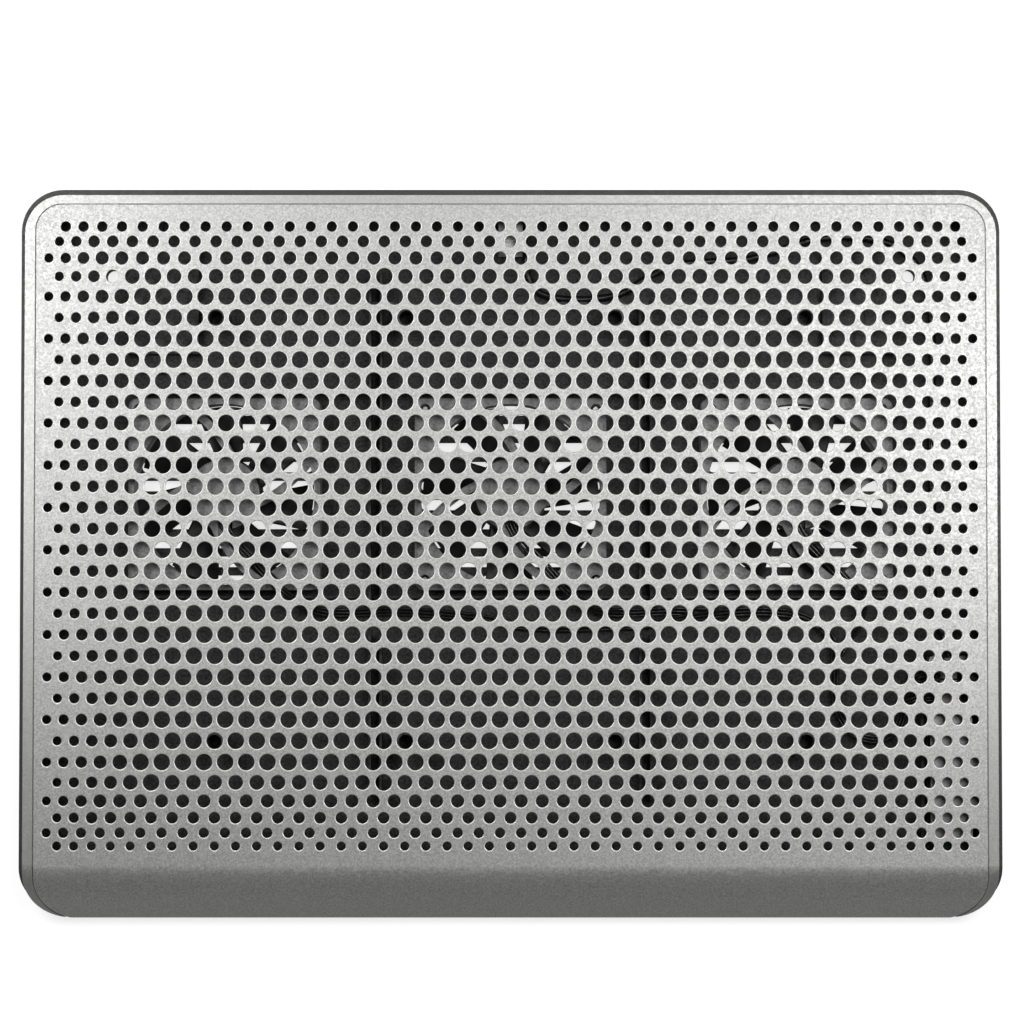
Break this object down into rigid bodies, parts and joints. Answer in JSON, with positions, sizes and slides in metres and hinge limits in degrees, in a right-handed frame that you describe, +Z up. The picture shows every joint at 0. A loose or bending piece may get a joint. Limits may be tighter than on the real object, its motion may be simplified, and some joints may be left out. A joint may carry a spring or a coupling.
{
  "type": "laptop cooling pad",
  "caption": "Flat laptop cooling pad with a perforated satin silver top that rolls down at the front, over a dark tray with axial fans, a socket board and folding rear legs.",
  "frame": {"origin": "middle of the pad's rectangular footprint, on the surface it stands on", "axes": "+X to the user's right across the width, +Y towards the rear, +Z up"},
  "size_m": [0.4092, 0.3048, 0.026],
  "materials": {
    "anodised_plate": "fine bead-blasted satin silver",
    "silver_frame": "satin silver",
    "dark_shell": "fine matt texture",
    "fan_grey": "satin moulded",
    "fan_black": "satin moulded",
    "magnet": "bonded magnet",
    "steel": "ground",
    "bronze": "sintered",
    "lamination": "stacked sheet",
    "copper": "enamelled wire",
    "circuit": "solder mask",
    "wire": "flexible insulation",
    "tinplate": "bright tinplate",
    "white_plastic": "moulded",
    "black_plastic": "moulded",
    "clear_plastic": "clear",
    "rubber": "matt",
    "screw_steel": "blackened"
  },
  "bodies": {
    "base": {"top_plate": "anodised_plate", "front_lip": "anodised_plate", "top_frame": "silver_frame", "shell_walls": "dark_shell", "shell_floor": "dark_shell", "shell_posts": "dark_shell", "shell_ribs": "dark_shell", "io_board": "circuit", "hub_shield": "tinplate", "usb_shell_front": "tinplate", "usb_shell_rear": "tinplate", "usb_tongues": "black_plastic", "switch_body": "black_plastic", "lead_connectors": "white_plastic", "power_light": "white_plastic", "light_pipe": "clear_plastic", "inlet_body": "black_plastic", "inlet_clamp": "black_plastic", "inlet_pin": "steel", "power_cable": "wire", "feet_front": "rubber", "feet_rear": "rubber", "case_screws": "screw_steel", "fan_screws": "screw_steel", "board_screws": "steel", "inlet_screw": "steel", "leg_pin_left": "steel", "leg_pin_right": "steel", "fan_frame_left": "fan_grey", "fan_bearing_left": "bronze", "fan_stator_left": "lamination", "fan_windings_left": "copper", "fan_board_left": "circuit", "fan_leads_left": "wire", "fan_frame_centre": "fan_grey", "fan_bearing_centre": "bronze", "fan_stator_centre": "lamination", "fan_windings_centre": "copper", "fan_board_centre": "circuit", "fan_leads_centre": "wire", "fan_frame_right": "fan_grey", "fan_bearing_right": "bronze", "fan_stator_right": "lamination", "fan_windings_right": "copper", "fan_board_right": "circuit", "fan_leads_right": "wire"},
    "rotor_left": {"fan_rotor_left": "fan_black", "fan_magnet_left": "magnet", "fan_shaft_left": "steel"},
    "rotor_centre": {"fan_rotor_centre": "fan_black", "fan_magnet_centre": "magnet", "fan_shaft_centre": "steel"},
    "rotor_right": {"fan_rotor_right": "fan_black", "fan_magnet_right": "magnet", "fan_shaft_right": "steel"},
    "leg_left": {"leg_left": "dark_shell", "leg_tip_left": "rubber"},
    "leg_right": {"leg_right": "dark_shell", "leg_tip_right": "rubber"},
    "switch": {"switch_slider": "black_plastic"}
  },
  "joints": [
    {"name": "rotor_left_spin", "type": "hinge", "parent": "base", "child": "rotor_left", "pos_m": [-0.1196, 0.0249, 0.012], "axis": [0, 0, 1], "continuous": true},
    {"name": "rotor_centre_spin", "type": "hinge", "parent": "base", "child": "rotor_centre", "pos_m": [0, 0.0249, 0.012], "axis": [0, 0, 1], "continuous": true},
    {"name": "rotor_right_spin", "type": "hinge", "parent": "base", "child": "rotor_right", "pos_m": [0.1196, 0.0249, 0.012], "axis": [0, 0, 1], "continuous": true},
    {"name": "leg_left_fold", "type": "hinge", "parent": "base", "child": "leg_left", "pos_m": [-0.1465, 0.124, 0.0055], "axis": [1, 0, 0], "range_deg": [0, 90]},
    {"name": "leg_right_fold", "type": "hinge", "parent": "base", "child": "leg_right", "pos_m": [0.1465, 0.124, 0.0055], "axis": [1, 0, 0], "range_deg": [0, 90]},
    {"name": "switch_slide", "type": "slide", "parent": "base", "child": "switch", "axis": [0, 1, 0], "range_m": [0, 0.003]}
  ]
}
